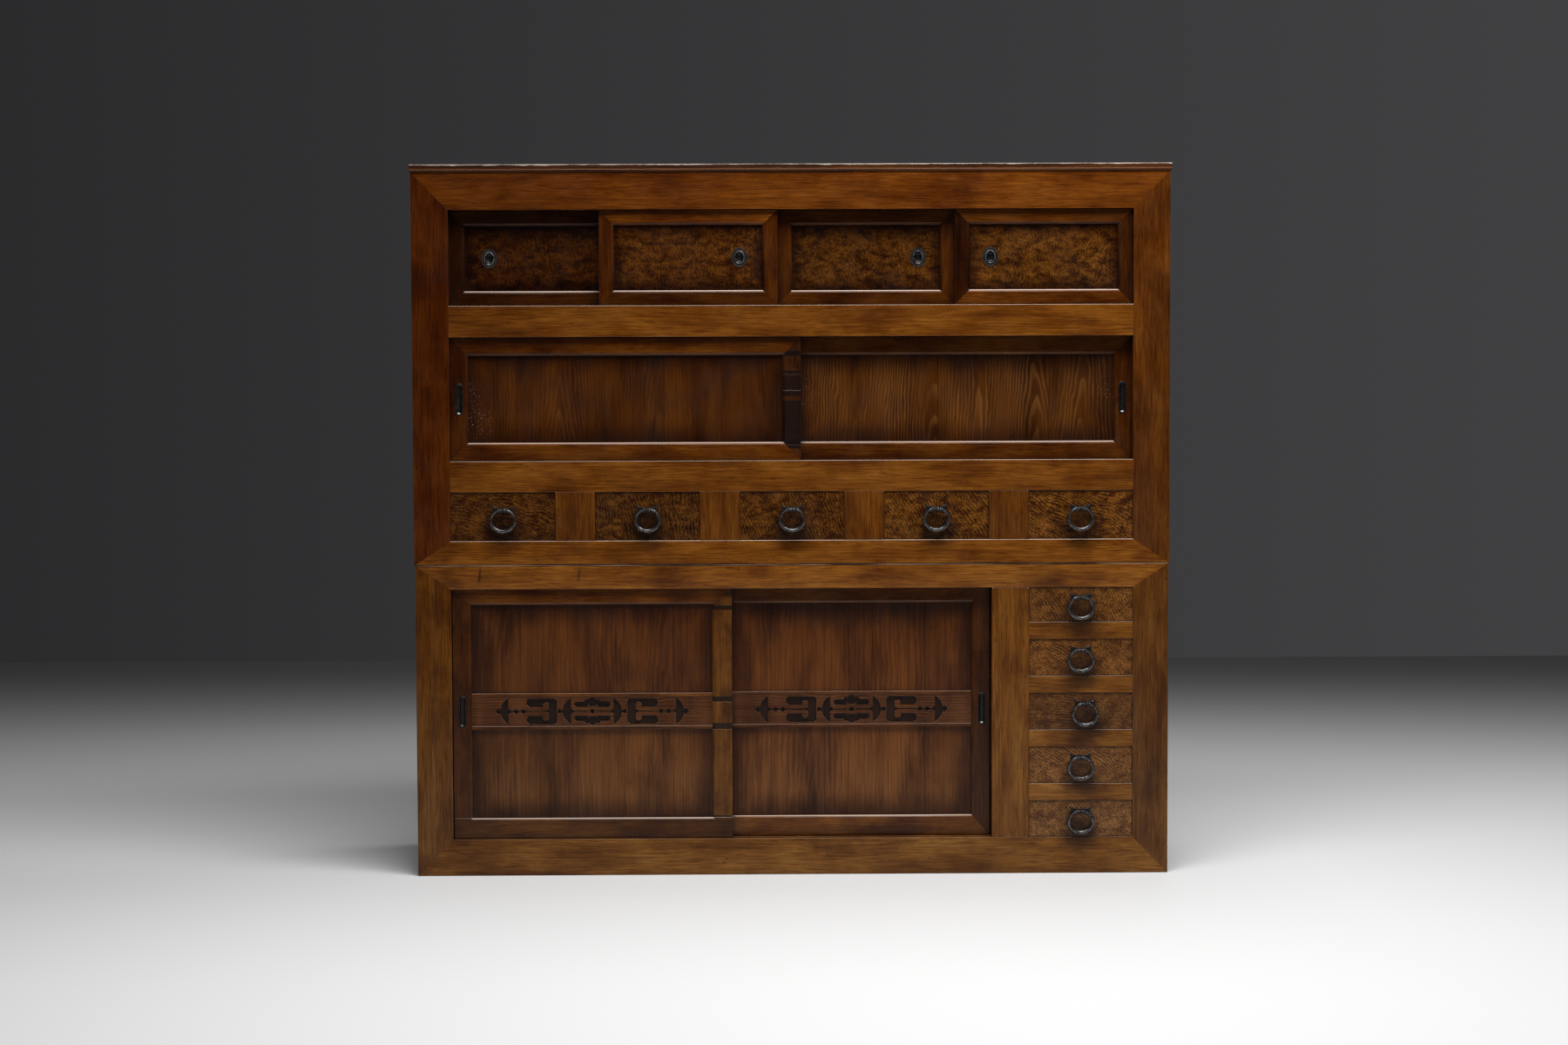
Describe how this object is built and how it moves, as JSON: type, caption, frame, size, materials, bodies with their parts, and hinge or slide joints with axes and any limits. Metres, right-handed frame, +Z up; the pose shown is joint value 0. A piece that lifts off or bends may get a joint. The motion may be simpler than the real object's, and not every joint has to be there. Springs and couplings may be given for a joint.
{
  "type": "kitchen cabinet",
  "caption": "Two-part wooden kitchen cabinet with sliding panel doors above and below, rows of small drawers with iron ring pulls, and pierced bands across the lower doors.",
  "frame": {"origin": "on the floor, below the middle of the cabinet's box", "axes": "+X to the right seen from the front, +Y to the back, +Z up"},
  "size_m": [1.766, 0.4614, 1.657],
  "materials": {
    "frame_wood": "thin aged brown lacquer, satin, rubbed pale on the edges",
    "panel_wood": "dark stained straight-grained boards, satin",
    "figured_wood": "strongly figured boards, golden brown with dark contour lines, satin",
    "inner_wood": "unfinished dry boards, dull",
    "iron": "blackened, polished by use on the rings"
  },
  "bodies": {
    "root": {"cornice_board": "frame_wood", "upper_front_stiles": "frame_wood", "upper_front_rails": "frame_wood", "upper_drawer_spacers": "frame_wood", "upper_side_frames": "frame_wood", "upper_side_panels": "panel_wood", "upper_back_boards": "inner_wood", "upper_shelves": "inner_wood", "lower_front_stiles": "frame_wood", "lower_front_rails": "frame_wood", "lower_side_walls": "frame_wood", "lower_back_boards": "inner_wood", "lower_shelves": "inner_wood", "lower_drawer_case": "inner_wood"},
    "small_door_1": {"small_door_1": "figured_wood", "small_door_1_pull": "iron"},
    "small_door_2": {"small_door_2": "figured_wood", "small_door_2_pull": "iron"},
    "small_door_3": {"small_door_3": "figured_wood", "small_door_3_pull": "iron"},
    "small_door_4": {"small_door_4": "figured_wood", "small_door_4_pull": "iron"},
    "wide_door_left": {"wide_door_left": "panel_wood", "wide_door_left_pull": "iron"},
    "wide_door_right": {"wide_door_right": "panel_wood", "wide_door_right_pull": "iron"},
    "lower_door_left": {"lower_door_left": "panel_wood", "lower_door_left_pull": "iron"},
    "lower_door_right": {"lower_door_right": "panel_wood", "lower_door_right_pull": "iron"},
    "top_drawer_1": {"top_drawer_1": "figured_wood", "top_drawer_1_plate": "iron"},
    "top_drawer_2": {"top_drawer_2": "figured_wood", "top_drawer_2_plate": "iron"},
    "top_drawer_3": {"top_drawer_3": "figured_wood", "top_drawer_3_plate": "iron"},
    "top_drawer_4": {"top_drawer_4": "figured_wood", "top_drawer_4_plate": "iron"},
    "top_drawer_5": {"top_drawer_5": "figured_wood", "top_drawer_5_plate": "iron"},
    "side_drawer_1": {"side_drawer_1": "figured_wood", "side_drawer_1_plate": "iron"},
    "side_drawer_2": {"side_drawer_2": "figured_wood", "side_drawer_2_plate": "iron"},
    "side_drawer_3": {"side_drawer_3": "figured_wood", "side_drawer_3_plate": "iron"},
    "side_drawer_4": {"side_drawer_4": "figured_wood", "side_drawer_4_plate": "iron"},
    "side_drawer_5": {"side_drawer_5": "figured_wood", "side_drawer_5_plate": "iron"},
    "top_drawer_1_ring": {"top_drawer_1_ring": "iron"},
    "top_drawer_2_ring": {"top_drawer_2_ring": "iron"},
    "top_drawer_3_ring": {"top_drawer_3_ring": "iron"},
    "top_drawer_4_ring": {"top_drawer_4_ring": "iron"},
    "top_drawer_5_ring": {"top_drawer_5_ring": "iron"},
    "side_drawer_1_ring": {"side_drawer_1_ring": "iron"},
    "side_drawer_2_ring": {"side_drawer_2_ring": "iron"},
    "side_drawer_3_ring": {"side_drawer_3_ring": "iron"},
    "side_drawer_4_ring": {"side_drawer_4_ring": "iron"},
    "side_drawer_5_ring": {"side_drawer_5_ring": "iron"}
  },
  "joints": [
    {"name": "small_door_1_slide", "type": "slide", "parent": "root", "child": "small_door_1", "axis": [1, 0, 0], "range_m": [0, 0.346]},
    {"name": "small_door_2_slide", "type": "slide", "parent": "root", "child": "small_door_2", "axis": [1, 0, 0], "range_m": [-0.348, 0]},
    {"name": "small_door_3_slide", "type": "slide", "parent": "root", "child": "small_door_3", "axis": [1, 0, 0], "range_m": [0, 0.412]},
    {"name": "small_door_4_slide", "type": "slide", "parent": "root", "child": "small_door_4", "axis": [1, 0, 0], "range_m": [-0.41, 0]},
    {"name": "wide_door_left_slide", "type": "slide", "parent": "root", "child": "wide_door_left", "axis": [1, 0, 0], "range_m": [0, 0.772]},
    {"name": "wide_door_right_slide", "type": "slide", "parent": "root", "child": "wide_door_right", "axis": [1, 0, 0], "range_m": [-0.772, 0]},
    {"name": "lower_door_left_slide", "type": "slide", "parent": "root", "child": "lower_door_left", "axis": [1, 0, 0], "range_m": [0, 0.606]},
    {"name": "lower_door_right_slide", "type": "slide", "parent": "root", "child": "lower_door_right", "axis": [1, 0, 0], "range_m": [-0.605, 0.0025]},
    {"name": "top_drawer_1_slide", "type": "slide", "parent": "root", "child": "top_drawer_1", "axis": [0, -1, 0], "range_m": [0, 0.3]},
    {"name": "top_drawer_2_slide", "type": "slide", "parent": "root", "child": "top_drawer_2", "axis": [0, -1, 0], "range_m": [0, 0.3]},
    {"name": "top_drawer_3_slide", "type": "slide", "parent": "root", "child": "top_drawer_3", "axis": [0, -1, 0], "range_m": [0, 0.3]},
    {"name": "top_drawer_4_slide", "type": "slide", "parent": "root", "child": "top_drawer_4", "axis": [0, -1, 0], "range_m": [0, 0.3]},
    {"name": "top_drawer_5_slide", "type": "slide", "parent": "root", "child": "top_drawer_5", "axis": [0, -1, 0], "range_m": [0, 0.3]},
    {"name": "side_drawer_1_slide", "type": "slide", "parent": "root", "child": "side_drawer_1", "axis": [0, -1, 0], "range_m": [0, 0.3]},
    {"name": "side_drawer_2_slide", "type": "slide", "parent": "root", "child": "side_drawer_2", "axis": [0, -1, 0], "range_m": [0, 0.3]},
    {"name": "side_drawer_3_slide", "type": "slide", "parent": "root", "child": "side_drawer_3", "axis": [0, -1, 0], "range_m": [0, 0.3]},
    {"name": "side_drawer_4_slide", "type": "slide", "parent": "root", "child": "side_drawer_4", "axis": [0, -1, 0], "range_m": [0, 0.3]},
    {"name": "side_drawer_5_slide", "type": "slide", "parent": "root", "child": "side_drawer_5", "axis": [0, -1, 0], "range_m": [0, 0.3]},
    {"name": "top_drawer_1_ring_swing", "type": "hinge", "parent": "top_drawer_1", "child": "top_drawer_1_ring", "pos_m": [-0.6728, -0.2248, 0.85675], "axis": [-1, 0, 0], "range_deg": [0, 90]},
    {"name": "top_drawer_2_ring_swing", "type": "hinge", "parent": "top_drawer_2", "child": "top_drawer_2_ring", "pos_m": [-0.3364, -0.2248, 0.85675], "axis": [-1, 0, 0], "range_deg": [0, 90]},
    {"name": "top_drawer_3_ring_swing", "type": "hinge", "parent": "top_drawer_3", "child": "top_drawer_3_ring", "pos_m": [0, -0.2248, 0.85675], "axis": [-1, 0, 0], "range_deg": [0, 90]},
    {"name": "top_drawer_4_ring_swing", "type": "hinge", "parent": "top_drawer_4", "child": "top_drawer_4_ring", "pos_m": [0.3364, -0.2248, 0.85675], "axis": [-1, 0, 0], "range_deg": [0, 90]},
    {"name": "top_drawer_5_ring_swing", "type": "hinge", "parent": "top_drawer_5", "child": "top_drawer_5_ring", "pos_m": [0.6728, -0.2248, 0.85675], "axis": [-1, 0, 0], "range_deg": [0, 90]},
    {"name": "side_drawer_1_ring_swing", "type": "hinge", "parent": "side_drawer_1", "child": "side_drawer_1_ring", "pos_m": [0.674, -0.2248, 0.6485], "axis": [-1, 0, 0], "range_deg": [0, 90]},
    {"name": "side_drawer_2_ring_swing", "type": "hinge", "parent": "side_drawer_2", "child": "side_drawer_2_ring", "pos_m": [0.674, -0.2248, 0.525], "axis": [-1, 0, 0], "range_deg": [0, 90]},
    {"name": "side_drawer_3_ring_swing", "type": "hinge", "parent": "side_drawer_3", "child": "side_drawer_3_ring", "pos_m": [0.684, -0.2248, 0.3985], "axis": [-1, 0, 0], "range_deg": [0, 90]},
    {"name": "side_drawer_4_ring_swing", "type": "hinge", "parent": "side_drawer_4", "child": "side_drawer_4_ring", "pos_m": [0.674, -0.2248, 0.272], "axis": [-1, 0, 0], "range_deg": [0, 90]},
    {"name": "side_drawer_5_ring_swing", "type": "hinge", "parent": "side_drawer_5", "child": "side_drawer_5_ring", "pos_m": [0.674, -0.2248, 0.1455], "axis": [-1, 0, 0], "range_deg": [0, 90]}
  ]
}
